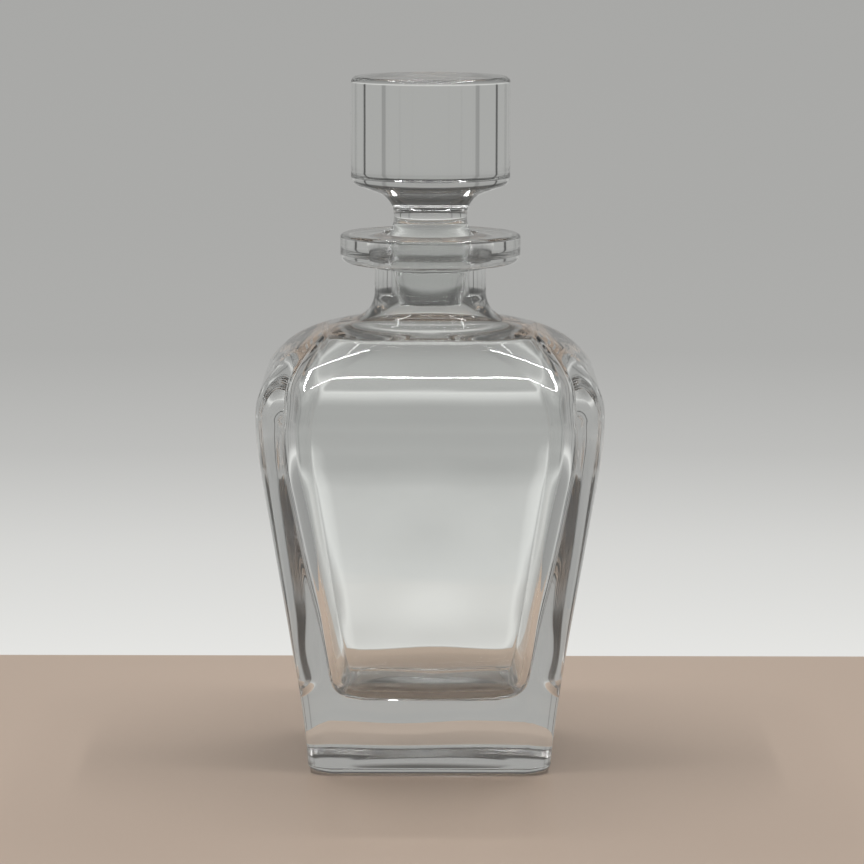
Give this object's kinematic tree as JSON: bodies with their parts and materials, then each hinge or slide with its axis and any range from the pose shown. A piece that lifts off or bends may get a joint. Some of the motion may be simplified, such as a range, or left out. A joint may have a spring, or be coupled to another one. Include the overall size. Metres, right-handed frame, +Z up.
{
  "type": "decanter",
  "caption": "Clear glass decanter with four leaning flat sides, rounded shoulders, a thick solid foot, a flanged round lip and a solid glass stopper with a cylindrical head.",
  "frame": {"origin": "centre of the foot, on the surface that the decanter stands on", "axes": "+Z up along the neck's axis; the four flat sides face +X, -X, +Y and -Y"},
  "size_m": [0.12, 0.12, 0.24],
  "materials": {
    "bottle_glass": "clear pressed and fire-polished glass, with a faint grey-green cast in the thick foot",
    "stopper_glass": "clear polished glass, with a fine ground finish on the tapered plug"
  },
  "bodies": {
    "bottle": {"bottle": "bottle_glass"},
    "stopper": {"stopper": "stopper_glass"}
  },
  "joints": [
    {"name": "stopper_lift", "type": "slide", "parent": "bottle", "child": "stopper", "axis": [0, 0, 1], "range_m": [0, 0.075]}
  ]
}
